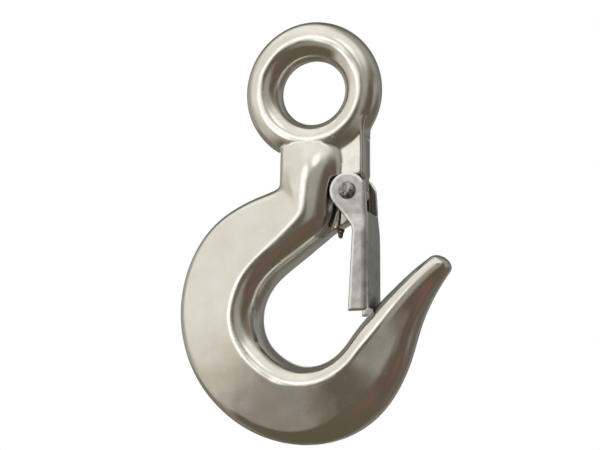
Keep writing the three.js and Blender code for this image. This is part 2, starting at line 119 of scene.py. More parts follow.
class Room:
    """A world shader that lays soft cones of colour over one base colour."""

    def __init__(self, base):
        self.world = bpy.data.worlds.new("studio")
        self.world.use_nodes = True
        self.tree = self.world.node_tree
        self.surface = self.tree.nodes["Background"]
        self.way = self.tree.nodes.new("ShaderNodeTexCoord").outputs["Generated"]
        start = self.tree.nodes.new("ShaderNodeRGB")
        start.outputs[0].default_value = (*base, 1.0)
        self.colour = start.outputs[0]

    def add_patch(self, turn, rise, inner, outer, colour):
        """Full colour within the inner angle, none beyond the outer angle."""
        dot = self.tree.nodes.new("ShaderNodeVectorMath")
        dot.operation = "DOT_PRODUCT"
        dot.inputs[1].default_value = direction_of(turn, rise)
        self.tree.links.new(self.way, dot.inputs[0])
        edge = self.tree.nodes.new("ShaderNodeMapRange")
        edge.interpolation_type = "SMOOTHSTEP"
        edge.inputs["From Min"].default_value = math.cos(math.radians(outer))
        edge.inputs["From Max"].default_value = math.cos(math.radians(inner))
        self.tree.links.new(dot.outputs["Value"], edge.inputs["Value"])
        self.blend_in(edge.outputs["Result"], colour)

    def blend_in(self, share, colour):
        mix = self.tree.nodes.new("ShaderNodeMix")
        mix.data_type = "RGBA"
        mix.inputs["B"].default_value = (*colour, 1.0)
        self.tree.links.new(share, mix.inputs["Factor"])
        self.tree.links.new(self.colour, mix.inputs["A"])
        self.colour = mix.outputs["Result"]

    def finish(self):
        self.tree.links.new(self.colour, self.surface.inputs["Color"])
        bpy.context.scene.world = self.world


room = Room(base=(0.13, 0.11, 0.08))
# The big window, and the walls and cupboards that lie under its right edge.
room.add_patch(turn=-110, rise=49, inner=84, outer=96, colour=(0.62, 0.585, 0.49))
room.add_patch(turn=100, rise=66, inner=30, outer=58, colour=(0.37, 0.36, 0.31))
room.add_patch(turn=50, rise=30, inner=6, outer=34, colour=(0.44, 0.43, 0.38))
room.add_patch(turn=75, rise=12, inner=6, outer=36, colour=(0.19, 0.17, 0.11))
room.add_patch(turn=98, rise=2, inner=6, outer=28, colour=(0.36, 0.35, 0.31))
room.add_patch(turn=145, rise=10, inner=18, outer=48, colour=(0.27, 0.27, 0.26))
room.add_patch(turn=170, rise=-45, inner=15, outer=45, colour=(0.25, 0.24, 0.21))
room.add_patch(turn=-165, rise=30, inner=25, outer=60, colour=(0.15, 0.14, 0.12))
room.add_patch(turn=50, rise=-14, inner=20, outer=38, colour=(0.13, 0.10, 0.08))
room.add_patch(turn=62, rise=-24, inner=2, outer=11, colour=(0.21, 0.11, 0.08))
room.add_patch(turn=40, rise=-6, inner=2, outer=10, colour=(0.21, 0.18, 0.14))
room.add_patch(turn=38, rise=8, inner=2, outer=11, colour=(0.16, 0.15, 0.11))
room.add_patch(turn=28, rise=-38, inner=3, outer=17, colour=(0.20, 0.10, 0.08))
room.add_patch(turn=120, rise=-24, inner=16, outer=36, colour=(0.16, 0.13, 0.10))
room.add_patch(turn=22, rise=15, inner=8, outer=24, colour=(0.40, 0.39, 0.35))
room.add_patch(turn=20, rise=-3, inner=2, outer=18, colour=(0.35, 0.33, 0.28))
room.add_patch(turn=-23, rise=-17, inner=8, outer=18, colour=(0.31, 0.29, 0.24))
# The brightest sky in the window, and the grey beside it.
room.add_patch(turn=-48, rise=58, inner=20, outer=46, colour=(1.02, 1.00, 0.92))
room.add_patch(turn=-52, rise=22, inner=17, outer=33, colour=(0.88, 0.85, 0.76))
room.add_patch(turn=35, rise=52, inner=8, outer=28, colour=(0.94, 0.94, 0.84))
room.add_patch(turn=-112, rise=0, inner=12, outer=34, colour=(0.39, 0.38, 0.35))
room.add_patch(turn=-150, rise=-20, inner=12, outer=36, colour=(0.18, 0.17, 0.14))
room.add_patch(turn=-60, rise=-78, inner=34, outer=62, colour=(0.13, 0.11, 0.07))
room.add_patch(turn=-110, rise=-25, inner=5, outer=18, colour=(0.22, 0.18, 0.14))
# A narrow bright frame runs up the window's right edge.
room.add_patch(turn=-27, rise=5, inner=4, outer=12, colour=(1.62, 1.63, 1.58))
room.add_patch(turn=-16, rise=20, inner=4, outer=12, colour=(1.50, 1.50, 1.45))
room.add_patch(turn=10, rise=34, inner=4, outer=13, colour=(1.40, 1.38, 1.31))
# The white sheet behind the hook, which the steel shows along its outline.
room.add_patch(turn=-163, rise=8, inner=12, outer=24, colour=(1.0, 1.0, 1.0))

# %% [markdown]
# The sheet behind the hook is plain white wherever the camera looks past the steel, so the
# camera's own rays see white from any side. The reflections keep the room.

# %% Show white behind the hook
light_path = room.tree.nodes.new("ShaderNodeLightPath")
room.blend_in(light_path.outputs["Is Camera Ray"], (1.0, 1.0, 1.0))
room.finish()
print("the room has", sum(node.type == "MAP_RANGE" for node in room.tree.nodes), "patches")

# %% [markdown]
# ## Floor
#
# A hook hangs from its eye, so it can't stand on anything. The floor is a plain pale disc so far
# below it that the hook can be looked at from underneath too. It takes the hook's soft shadow,
# and towards its rim it fades into the white around it, as a paper sweep does. The steel looks
# past it to the darker floor of the room, which is what the real one shows.

# %% Lay the floor
floor_drop, floor_radius, floor_fade_start = 0.80, 3.2, 0.40
floor_near_white = 0.55
floor_mesh = bpy.data.meshes.new("floor")
bm = bmesh.new()
bmesh.ops.create_circle(bm, cap_ends=True, segments=128, radius=floor_radius)
bm.to_mesh(floor_mesh)
bm.free()
floor = bpy.data.objects.new("floor", floor_mesh)
floor.location = (0.0, 0.0, -floor_drop)
floor.visible_glossy = False
bpy.context.scene.collection.objects.link(floor)
print("the floor lies", floor_drop, "m under the eye")

# %% [markdown]
# The floor's material has two parts. A matt one takes light and shadow. A white one is seen by
# the camera alone, by half near the hook and fully at the rim, so that no edge shows.

# %% Make the floor's paper
paper = bpy.data.materials.new("pale_paper")
paper.use_nodes = True
tree = paper.node_tree
tree.nodes.clear()
matt = tree.nodes.new("ShaderNodeBsdfDiffuse")
matt.inputs["Color"].default_value = (0.90, 0.90, 0.89, 1.0)
white = tree.nodes.new("ShaderNodeEmission")
reach = tree.nodes.new("ShaderNodeVectorMath")
reach.operation = "LENGTH"
tree.links.new(tree.nodes.new("ShaderNodeTexCoord").outputs["Object"], reach.inputs[0])
fade = tree.nodes.new("ShaderNodeMapRange")
fade.interpolation_type = "SMOOTHSTEP"
fade.inputs["From Min"].default_value = floor_fade_start
fade.inputs["From Max"].default_value = floor_radius
fade.inputs["To Min"].default_value = floor_near_white
tree.links.new(reach.outputs["Value"], fade.inputs["Value"])
seen = tree.nodes.new("ShaderNodeMath")
seen.operation = "MULTIPLY"
tree.links.new(fade.outputs["Result"], seen.inputs[0])
tree.links.new(tree.nodes.new("ShaderNodeLightPath").outputs["Is Camera Ray"], seen.inputs[1])
laid = tree.nodes.new("ShaderNodeMixShader")
tree.links.new(seen.outputs["Value"], laid.inputs["Fac"])
tree.links.new(matt.outputs["BSDF"], laid.inputs[1])
tree.links.new(white.outputs["Emission"], laid.inputs[2])
surface = tree.nodes.new("ShaderNodeOutputMaterial")
tree.links.new(laid.outputs["Shader"], surface.inputs["Surface"])
floor_mesh.materials.append(paper)
print("the paper's white part starts at", floor_near_white)

# %% [markdown]
# ## One skin by melting and sliding
#
# A forging has no seams: the eye flows into the neck, and the lug grows out of both. Modelling
# that by hand means a lot of joining of loops. Here the shape is written as a distance formula
# instead. It gives, for any point, how far the point lies outside the steel. Joining two forms
# with a soft fillet is then one line, `soft_min`.
#
# To get a mesh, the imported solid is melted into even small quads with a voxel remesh. Then each
# of its points slides along the formula's slope until the distance is zero. The slope is also
# the exact direction of the surface, so it is kept as the shading normal.

# %% Join and cut by distance


def soft_min(a, b, blend):
    """The nearer of two distances, with a fillet where they are alike."""
    share = np.maximum(blend - np.abs(a - b), 0) / blend
    return np.minimum(a, b) - share ** 2 * blend / 4


def soft_max(a, b, blend):
    """The farther of two distances, which cuts one form by another with a rounded edge."""
    return -soft_min(-a, -b, blend)


def ellipse_distance(across, high, half_across, half_high):
    """Close to the distance from an ellipse about the origin, and exact on the ellipse."""
    size = np.hypot(across / half_across, high / half_high)
    slope = np.hypot(across / half_across ** 2, high / half_high ** 2)
    return size * (size - 1) / np.maximum(slope, 1e-6)


def smoothstep(value, low, high):
    share = np.clip((value - low) / (high - low), 0, 1)
    return share * share * (3 - 2 * share)


print("two faces that meet at 1 mm of fillet lose", float(-soft_min(0.0, 0.0, 1.0)), "mm at the corner")

# %% [markdown]
# The slope is found by trying the formula a hair's breadth away in each direction. Sliding by
# distance over slope lands close to the surface, and a few rounds land on it. Between rounds the
# points are evened out, or the quads would crowd together at tight corners.

# %% Slide points on to a formula


def slope_of(distance, points, step=0.01):
    """The formula's slope at each point, from small steps along the axes."""
    slopes = np.zeros_like(points)
    for axis in range(3):
        shift = np.zeros(3)
        shift[axis] = step
        slopes[:, axis] = (distance(points + shift) - distance(points - shift)) / (2 * step)
    return slopes


def slide_on_to(distance, points, rounds):
    """Moves points along the slope until the distance is zero."""
    for _ in range(rounds):
        slopes = slope_of(distance, points)
        square = np.maximum((slopes ** 2).sum(axis=1), 0.25)
        move = slopes * (distance(points) / square)[:, None]
        length = np.maximum(np.linalg.norm(move, axis=1), 1e-9)
        points = points - move * np.minimum(1, 0.8 / length)[:, None]
    return points


def relaxed(points, edges):
    """Each point halfway to the middle of its neighbours, which evens out the quads."""
    total = np.zeros_like(points)
    count = np.zeros(len(points))
    for near, far in ((0, 1), (1, 0)):
        np.add.at(total, edges[:, near], points[edges[:, far]])
        np.add.at(count, edges[:, near], 1)
    return (points + total / count[:, None]) / 2


ball = slide_on_to(lambda p: np.linalg.norm(p, axis=1) - 2.0, np.array([[2.4, 1.0, 0.5]]), rounds=4)
print("a point slid on to a 2 mm ball lies at", round(float(np.linalg.norm(ball)), 4))

# %% [markdown]
# The voxel remesh needs one closed solid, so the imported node's doubled corner points are merged
# first. The result is read into numpy arrays, because the formulas work on all points at once.

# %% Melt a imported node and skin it


def melt(node, quad_size):
    """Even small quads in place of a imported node's facets, as points, edges and faces."""
    copy = bpy.data.objects.new("melt", nodes[node].data.copy())
    copy.data.transform(Matrix.Scale(1 / metres_per_mm, 4))
    bpy.context.scene.collection.objects.link(copy)
    bm = bmesh.new()
    bm.from_mesh(copy.data)
    bmesh.ops.remove_doubles(bm, verts=bm.verts, dist=1e-4)
    bm.to_mesh(copy.data)
    bm.free()
    remesh = copy.modifiers.new("melt", "REMESH")
    remesh.mode = "VOXEL"
    remesh.voxel_size = quad_size
    evaluated = copy.evaluated_get(bpy.context.evaluated_depsgraph_get())
    mesh = bpy.data.meshes.new_from_object(evaluated)
    points = np.zeros(3 * len(mesh.vertices))
    mesh.vertices.foreach_get("co", points)
    edges = np.zeros(2 * len(mesh.edges), int)
    mesh.edges.foreach_get("vertices", edges)
    faces = [tuple(face.vertices) for face in mesh.polygons]
    bpy.data.objects.remove(copy)
    bpy.data.meshes.remove(mesh)
    return points.reshape(-1, 3), edges.reshape(-1, 2), faces


def add_piece(name, points, faces, normals=None):
    """A smooth mesh object from points in millimetres."""
    mesh = bpy.data.meshes.new(name)
    mesh.from_pydata((points * metres_per_mm).tolist(), [], faces)
    mesh.polygons.foreach_set("use_smooth", [True] * len(mesh.polygons))
    if normals is not None:
        mesh.normals_split_custom_set_from_vertices(normals.tolist())
    piece = bpy.data.objects.new(name, mesh)
    bpy.context.scene.collection.objects.link(piece)
    return piece


def skin_piece(name, node, distance, quad_size):
    """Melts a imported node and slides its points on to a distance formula."""
    points, edges, faces = melt(node, quad_size)
    points = slide_on_to(distance, points, rounds=4)
    for _ in range(2):
        points = slide_on_to(distance, relaxed(points, edges), rounds=2)
    slopes = slope_of(distance, points)
    normals = slopes / np.maximum(np.linalg.norm(slopes, axis=1), 1e-9)[:, None]
    left = np.abs(distance(points))
    print(f"{name}: {len(points)} points, {left.mean():.4f} mm off on average, {left.max():.3f} at most")
    return add_piece(name, points, faces, normals)


print("packed nodes to melt:", sorted(nodes))

# %% [markdown]
# ## Hook body: its sizes
#
# The forging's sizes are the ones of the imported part, in millimetres. The body is a run of
# sections. Each has an inner edge on the bowl's side, an outer edge, a deep round rim inside
# and a shallow back outside.

# %% Sizes of the forging
eye_ring_radius = 13.5
eye_bar = 9.7
eye_crown_bar = 10.5
neck_width, neck_depth, neck_left_shift = 16.6, 15.2, 0.6
shoulder_drop = 24.3
bowl_middle = np.array([-1.2, -58.6])
bowl_radius = 13.6
body_width, body_depth, back_depth = 22.0, 16.0, 10.4
rim_round, back_round = 6.3, 2.8
tip_dome_share = 0.78
tip_heel_share, tip_back_share = 0.62, 0.88

# Inner and outer drop, right edge, depth, back's depth and rounding, as shares.
neck_shares = (
    (0.49, 0.49, 1.08, 0.55, 0.70, 1.03),
    (0.68, 0.66, 1.16, 0.80, 0.90, 1.07),
    (0.88, 0.80, 1.12, 0.96, 1.00, 1.05),
    (1.11, 0.92, 0.93, 1.00, 1.05, 1.00),
    (1.33, 1.00, 0.88, 1.04, 1.05, 1.00),
)
# Angle about the bowl, radius share, heading, and the shares of width, depth and rounding.
bowl_shares = (
    (73.0, 1.58, 139.0, 0.88, 1.00, 1.22),
    (84.0, 1.28, 133.0, 0.92, 1.00, 1.10),
    (99.0, 1.05, 134.5, 1.01, 1.00, 1.03),
    (121.0, 0.95, 141.0, 1.07, 1.00, 1.00),
    (143.0, 0.95, 150.5, 1.06, 1.00, 1.00),
    (165.0, 0.96, 162.0, 1.04, 1.00, 1.00),
    (186.0, 0.98, 175.0, 1.02, 1.00, 1.00),
    (207.0, 0.98, 188.5, 1.01, 1.00, 1.00),
    (226.5, 0.96, 202.5, 1.02, 1.00, 1.00),
    (245.5, 0.97, 217.0, 1.01, 1.00, 1.00),
    (264.0, 1.00, 233.0, 1.00, 1.00, 1.00),
    (283.5, 1.00, 251.0, 1.01, 1.00, 1.00),
    (302.0, 0.99, 269.0, 1.01, 1.00, 1.00),
    (321.0, 0.97, 287.0, 0.99, 0.98, 0.98),
    (341.0, 0.99, 301.0, 0.92, 0.95, 0.94),
    (359.5, 1.23, 310.0, 0.75, 0.90, 0.86),
    (370.5, 1.53, 316.0, 0.56, 0.80, 0.76),
    (377.5, 1.90, 320.5, 0.44, 0.68, 0.66),
    (381.5, 2.27, 322.5, 0.36, 0.56, 0.57),
    (383.0, 2.56, 321.5, 0.30, 0.46, 0.52),
)


def neck_station(inner, outer, right, depth, back, rounding):
    return [
        (neck_width / 2 - neck_left_shift) * right, -shoulder_drop * inner,
        -neck_width / 2 - neck_left_shift, -shoulder_drop * outer,
        neck_depth * depth, back_depth * back, neck_width / 2 * rounding, back_round,
    ]


def bowl_station(angle, radius, heading, width, depth, rounding):
    turn, lean = math.radians(angle), math.radians(heading)
    inner = bowl_middle + bowl_radius * radius * np.array([math.cos(turn), math.sin(turn)])
    outer = inner + body_width * width * np.array([math.cos(lean), math.sin(lean)])
    return [
        *inner, *outer, body_depth * depth, min(back_depth, body_depth * depth),
        rim_round * rounding, max(back_round, rim_round * rounding - back_round * depth),
    ]


stations = np.array(
    [neck_station(*shares) for shares in neck_shares] + [bowl_station(*shares) for shares in bowl_shares]
)
# Towards the tip the flat cheek gives way to a full round back.
for row, shares in zip(stations[len(neck_shares):], bowl_shares):
    width = math.hypot(row[2] - row[0], row[3] - row[1])
    fuller = float(smoothstep(shares[0], 275.0, 340.0))
    row[5] += (tip_back_share * row[4] - row[5]) * fuller
    row[7] += (min(tip_heel_share * width, width - row[6]) - row[7]) * fuller
last_place = len(stations) - 1
print(len(stations), "stations from the eye to the tip")

# %% [markdown]
# ## Hook body: the run of sections
#
# A cubic B-spline through the stations gives a section at any place along the hook. A section
# is the tight wrap round two ellipses: a deep one at the rim and a shallow one at the back. Its
# straight side is the hook's flat cheek.

# %% Sections along the hook
padded = np.vstack([2 * stations[0] - stations[1], stations, 2 * stations[-1] - stations[-2]])


def station_at(place):
    place = np.clip(place, 0, last_place)
    span = np.minimum(place.astype(int), last_place - 1)
    t = (place - span)[:, None]
    weights = (
        (1 - t) ** 3 / 6,
        (3 * t ** 3 - 6 * t ** 2 + 4) / 6,
        (-3 * t ** 3 + 3 * t ** 2 + 3 * t + 1) / 6,
        t ** 3 / 6,
    )
    return sum(weight * padded[span + k] for k, weight in enumerate(weights))


def wrap_angle(width, depth, back, rim, heel):
    """The direction that the flat cheek faces, where it touches both ellipses."""
    run = np.maximum(width - heel, rim) - rim
    low = np.zeros_like(width)
    high = np.full_like(width, math.pi)
    for _ in range(40):
        angle = (low + high) / 2
        near = np.hypot(rim * np.cos(angle), depth / 2 * np.sin(angle))
        far = np.hypot(heel * np.cos(angle), back / 2 * np.sin(angle))
        ahead = run * np.cos(angle) + far > near
        low = np.where(ahead, angle, low)
        high = np.where(ahead, high, angle)
    return low


def section_sizes(rows):
    width = np.hypot(rows[:, 2] - rows[:, 0], rows[:, 3] - rows[:, 1])
    rim = np.minimum(rows[:, 6], width / 2)
    return width, rows[:, 4], rows[:, 5], rim, np.minimum(rows[:, 7], width - rim)


table_places = np.linspace(0, last_place, 480)
table_rows = station_at(table_places)
table_angles = wrap_angle(*section_sizes(table_rows))
table_middles = (table_rows[:, 0:2] + table_rows[:, 2:4]) / 2

land_cut = 0.10
land_round = 0.12


def section_distance(rows, angles, run, high):
    """Distance outside a section. Run is counted from its inner edge and high from its middle."""
    width, depth, back, rim, heel = section_sizes(rows)
    heel_middle = np.maximum(width - heel, rim)
    face = np.stack([np.cos(angles), np.sin(angles)])
    near = np.hypot(rim * face[0], depth / 2 * face[1])
    far = np.hypot(heel * face[0], back / 2 * face[1])
    start = np.stack([rim + rim ** 2 * face[0] / near, depth ** 2 / 4 * face[1] / near])
    end = np.stack([heel_middle + heel ** 2 * face[0] / far, back ** 2 / 4 * face[1] / far])
    side = end - start
    side_square = np.maximum((side ** 2).sum(0), 1e-9)
    share = ((run - start[0]) * side[0] + (high - start[1]) * side[1]) / side_square
    cheek = (run - start[0]) * face[0] + (high - start[1]) * face[1]
    rim_side = ellipse_distance(run - rim, high, rim, depth / 2)
    back_side = ellipse_distance(run - heel_middle, high, heel, back / 2)
    wrapped = np.where(share < 0, rim_side, np.where(share > 1, back_side, cheek))
    return soft_max(wrapped, run - (width - land_cut), land_round)


print("the cheek leans", [round(math.degrees(a), 1) for a in (table_angles.min(), table_angles.max())])

# %% [markdown]
# To find the distance at a point, its section has to be known first. A coarse map of the XZ
# plane holds the nearest section in a table as the first guess. Newton's method then slides the
# guess along until the point lies in the section's own plane. Past the last section the tip is
# a dome.

# %% Find the section of a point


def ahead_of(rows, flat):
    """How far a point of the XZ plane lies ahead of a section's plane."""
    width = np.hypot(rows[:, 2] - rows[:, 0], rows[:, 3] - rows[:, 1])
    along = (rows[:, 2:4] - rows[:, 0:2]) / width[:, None]
    off = flat - rows[:, 0:2]
    return along[:, 0] * off[:, 1] - along[:, 1] * off[:, 0]


def nearest_place(flat):
    """The place of the nearest section in the table."""
    gaps = ((flat[:, None, :] - table_middles[None]) ** 2).sum(axis=2)
    return table_places[gaps.argmin(axis=1)]


map_cell = 0.5
map_low = np.array([-42.0, -98.0])
map_across = np.arange(map_low[0], 44.0, map_cell)
map_up = np.arange(map_low[1], 26.0, map_cell)
place_map = np.array([
    nearest_place(np.stack([np.full_like(map_up, x), map_up], axis=1)) for x in map_across
])


def place_of(flat):
    """The place along the hook of each point of the XZ plane."""
    cell = np.rint((flat - map_low) / map_cell).astype(int)
    guess = place_map[
        np.clip(cell[:, 0], 0, len(map_across) - 1),
        np.clip(cell[:, 1], 0, len(map_up) - 1),
    ]
    step = 0.02
    for _ in range(3):
        here = ahead_of(station_at(guess), flat)
        slope = (ahead_of(station_at(guess + step), flat) - here) / step
        guess = np.clip(guess - np.clip(here / np.minimum(slope, -0.5), -0.7, 0.7), 0, last_place)
    return guess


print("the map of places has", place_map.shape, "cells")

# %% [markdown]
# The last section can't simply stop. The blunt tip is that section drawn in to a point along an
# ellipse, so its sides run on without a step.

# %% Distance from the run of sections
end_row = station_at(np.array([float(last_place)]))
end_before = station_at(np.array([last_place - 1 / 3]))
end_middle = (end_row[0, 0:2] + end_row[0, 2:4]) / 2
end_ahead = end_middle - (end_before[0, 0:2] + end_before[0, 2:4]) / 2
end_ahead /= np.linalg.norm(end_ahead)
end_width = float(np.hypot(*(end_row[0, 2:4] - end_row[0, 0:2])))
end_along = (end_row[0, 2:4] - end_row[0, 0:2]) / end_width
end_half = end_width / 2


cap_start_share = 0.9


def dome_distance(flat, high):
    """The tip's dome: the last section, drawn in along an ellipse."""
    off = flat - end_middle
    cross = end_along[0] * end_ahead[1] - end_along[1] * end_ahead[0]
    run = (off[:, 0] * end_ahead[1] - off[:, 1] * end_ahead[0]) / cross
    lead = (end_along[0] * off[:, 1] - end_along[1] * off[:, 0]) / cross
    rise = np.clip(lead / (end_half * tip_dome_share), 0, 3)
    size = np.hypot(np.hypot(run, high), 1e-6)
    shrink = np.sqrt(np.maximum(1 - np.minimum(rise, 0.999) ** 2, 1e-3))
    rows = np.repeat(end_row, len(flat), axis=0)
    angles = np.full(len(flat), table_angles[-1])
    side = section_distance(rows, angles, end_half + run / shrink, high / shrink) * shrink
    cap = (np.sqrt((size / end_half) ** 2 + rise ** 2) - 1) * end_half * tip_dome_share
    return np.where(rise < cap_start_share, side, np.maximum(side, cap))


def run_distance(points):
    """Distance outside the run of sections, from the eye to the tip."""
    flat = points[:, [0, 2]]
    high = np.abs(points[:, 1])
    place = place_of(flat)
    rows = station_at(place)
    angles = np.interp(place, table_places, table_angles)
    width = np.hypot(rows[:, 2] - rows[:, 0], rows[:, 3] - rows[:, 1])
    along = (rows[:, 2:4] - rows[:, 0:2]) / width[:, None]
    run = ((flat - rows[:, 0:2]) * along).sum(axis=1)
    distance = section_distance(rows, angles, run, high)
    over = ahead_of(rows, flat)
    behind = (place <= 0) & (over < 0)
    distance = np.where(behind, np.maximum(distance, -over), distance)
    past = (place >= last_place - 1e-9) & (over > 0)
    if past.any():
        distance[past] = dome_distance(flat[past], high[past])
    return distance


print(f"the tip's last section is {end_width:.2f} mm wide")

# %% [markdown]
# ## Hook body: eye, lug and cam
#
# The eye is a ring whose bar is a little thicker over the crown. The lug is a plate with rounded
# edges. Each is a formula of its own, because a formula of one plain form stays short.

# %% Distance from the eye and the lug
pivot = np.array([10.65, -27.4])
rivet_bore = 1.79
lug_thickness, lug_edge = 7.4, 1.0
shoulder_gap = 0.4
cam_thickness, cam_radius, cam_edge = 4.0, 3.75, 0.6
coil_top = 3.6
gusset_drop = 10.8
gusset_corner = pivot + np.array([-1.2, -8.0])


def eye_distance(points):
    x, y, z = points.T
    reach = np.hypot(x, z)
    rise = np.maximum(z / np.maximum(reach, 1e-6), 0)
    bar = (eye_bar + (eye_crown_bar - eye_bar) * rise ** 2) / 2
    return np.hypot(reach - eye_ring_radius, y) - bar


def beyond_line(x, z, start, end):
    """How far points lie to the right of a line, looking from its start to its end."""
    run = np.array([end[0] - start[0], end[1] - start[1]])
    run = run / np.linalg.norm(run)
    return (x - start[0]) * run[1] - (z - start[1]) * run[0]


def lug_distance(points):
    x, y, z = points.T
    front = pivot[0] + cam_radius
    shoulder = pivot[1] + coil_top + shoulder_gap
    root = (-neck_left_shift, -eye_ring_radius)
    corner = (pivot[0], -math.sqrt(eye_ring_radius ** 2 - pivot[0] ** 2))
    top = np.maximum(beyond_line(x, z, corner, root), z - corner[1])
    outline = soft_max(np.maximum(x - front, root[0] - x), shoulder - z, lug_edge)
    outline = np.maximum(outline, top)
    return soft_max(outline, np.abs(y) - lug_thickness / 2, lug_edge)


print("the eye's opening is", 2 * eye_ring_radius - eye_bar, "mm across")

# %% [markdown]
# Under the rivet the lug thins to a cam, which leaves room for the spring's coils. A gusset runs
# from it down to the bowl. Its lower edge is found where the bowl's wall is, by going to and fro
# between the wall and its section until the two agree.

# %% Distance from the cam and the gusset
gusset_place = place_of(np.array([[4.6, pivot[1] - gusset_drop]]))
for _ in range(12):
    wall_x = station_at(gusset_place)[0, 0]
    gusset_place = place_of(np.array([[wall_x, pivot[1] - gusset_drop]]))
gusset_wall = (float(station_at(gusset_place)[0, 0]), pivot[1] - gusset_drop)
arm = gusset_corner - pivot
lean = math.atan2(arm[1], arm[0]) + math.acos(cam_radius / math.hypot(*arm))
cam_touch = pivot + cam_radius * np.array([math.cos(lean), math.sin(lean)])
print("the gusset meets the bowl at", [round(value, 2) for value in gusset_wall])


def cam_distance(points):
    x, y, z = points.T
    reach = np.hypot(x - pivot[0], z - pivot[1]) - cam_radius
    lower = np.maximum(
        beyond_line(x, z, gusset_wall, gusset_corner),
        beyond_line(x, z, gusset_corner, cam_touch),
    )
    below = np.maximum(lower, z - pivot[1])
    above = np.where(z > pivot[1], x - pivot[0] - cam_radius, 1e3)
    plate = np.minimum(np.minimum(below, above), reach)
    plate = np.maximum(plate, np.maximum(z + eye_ring_radius, -neck_left_shift - x))
    return soft_max(plate, np.abs(y) - cam_thickness / 2, cam_edge)


# %% [markdown]
# Now the forms are joined. The neck's block starts with a small step under the ring, which shows
# as a crisp crease on the real forging. All other joints get a soft fillet, and the rivet's hole
# is cut last.

# %% Skin the hook body
neck_top, neck_top_round = -14.1, 0.45
eye_fillet, lug_fillet, cam_fillet, bore_edge = 0.4, 1.3, 0.8, 0.2


def body_distance(points):
    """Distance outside the whole forging, with a fillet at each joint."""
    block = soft_max(run_distance(points), points[:, 2] - neck_top, neck_top_round)
    body = soft_min(block, eye_distance(points), eye_fillet)
    body = soft_min(body, lug_distance(points), lug_fillet)
    body = soft_min(body, cam_distance(points), cam_fillet)
    bore = np.hypot(points[:, 0] - pivot[0], points[:, 2] - pivot[1]) - rivet_bore
    return soft_max(body, -bore, bore_edge)


hook_body = skin_piece("hook_forging", "hook_body", body_distance, quad_size=0.45)
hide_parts("hook_body")
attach(hook_body, "hook")

# %% [markdown]
# ## Latch: one folded sheet
#
# The latch is stamped from sheet and folded to a channel that opens to the left. Its two flanges
# end in round ears on the rivet. It could be modelled flat and bent, but its edges are tumbled
# round, and the melted skin gives such edges for the price of one number. The formula is the
# sheet's U in plan, cut by its outline as seen from the side.

# %% Sizes of the latch
latch_sheet, latch_width, latch_bend = 1.1, 14.2, 1.7
ear_radius, ear_inside, ear_outside = 4.95, 4.995, 6.095
web_offset, web_top_drop, ear_overlap, flare_drop = 5.55, 5.6, 0.4, 11.0
flange_shoulder_drop, flange_shoulder_depth, flange_end_depth = 9.6, 4.1, 5.35
flange_tail, latch_seat_gap, shoulder_fillet = 1.2, 0.4, 1.0
tip_places = np.linspace(last_place / 2, last_place, 400)
tip_rows = station_at(tip_places)
seat_level = float(np.interp(pivot[0] + web_offset, tip_rows[:, 0], tip_rows[:, 1]))
web_length = pivot[1] - (seat_level + latch_seat_gap)
latch_length = web_length + flange_tail
tumbled_edge, plain_edge = 0.95, 0.35
rim_width, rim_fade = 0.75, 0.35
print(f"the web is {web_length:.2f} mm long")

# %% [markdown]
# Seen from the side, the latch is a round ear with two slanting edges that touch it, and below
# them a long blade. The touching points come from the right triangle between the ear's middle,
# the touching point and the corner that the edge leads to.

# %% Draw the latch's outline


def touching_line(x, drop, turn):
    """Where a line from a corner touches the round ear, as X and Z from the rivet."""
    reach = math.hypot(x, drop)
    angle = math.atan2(-drop, x) + turn * math.acos(ear_radius / reach)
    return (ear_radius * math.cos(angle), ear_radius * math.sin(angle))


web_corner = (web_offset, -web_top_drop - ear_overlap)
flange_corner = (web_offset - flange_shoulder_depth, -flange_shoulder_drop)
flange_end = (web_offset - flange_end_depth, -latch_length)
right_touch = touching_line(web_corner[0], -web_corner[1], 1)
left_touch = touching_line(flange_corner[0], -flange_corner[1], -1)


def latch_outline(x, z):
    """Distance outside the latch's outline as seen from the side."""
    ear = np.hypot(x, z) - ear_radius
    upper_left = beyond_line(x, z, flange_corner, left_touch)
    lower_left = beyond_line(x, z, flange_end, flange_corner)
    left = soft_min(-upper_left, -lower_left, shoulder_fillet)
    right = beyond_line(x, z, web_corner, right_touch)
    below_ears = beyond_line(x, z, right_touch, left_touch)
    return np.minimum(ear, np.maximum(np.maximum(left, right), below_ears))


print("the ear's edges start at", [round(value, 2) for value in (*left_touch, *right_touch)])

# %% [markdown]
# Seen from above, the sheet is a U with a round bend at each corner. It flares below the ears,
# so that the blade is wider than the lug. The distance from the U's middle line, less half the
# sheet, is the bent sheet. The outline then cuts it, and its edges are rounded as by tumbling.

# %% Skin the latch


def latch_distance(points):
    x = points[:, 0] - pivot[0]
    z = points[:, 2] - pivot[1]
    high = np.abs(points[:, 1])
    flare = smoothstep(-z, web_top_drop + ear_overlap, flare_drop)
    half = ear_outside + (latch_width / 2 - ear_outside) * flare
    run = x - (web_offset - latch_bend)
    out = high - (half - latch_bend)
    corner = np.hypot(np.maximum(run, 0), np.maximum(out, 0))
    outside = corner + np.minimum(np.maximum(run, out), 0) - latch_bend
    sheet = np.abs(outside + latch_sheet / 2) - latch_sheet / 2
    outline = soft_max(latch_outline(x, z), -z - latch_length, plain_edge)
    body = soft_max(sheet, outline, tumbled_edge)
    above_web = soft_max(high - ear_inside, -web_top_drop - z, plain_edge)
    notch = soft_max(high - (half - latch_bend), web_length + z, plain_edge)
    bore = np.hypot(x, z) - rivet_bore
    for cut in (above_web, notch, bore):
        body = soft_max(body, -cut, plain_edge)
    return body


latch = skin_piece("latch_sheet", "latch", latch_distance, quad_size=0.28)
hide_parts("latch")
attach(latch, "latch_arm")
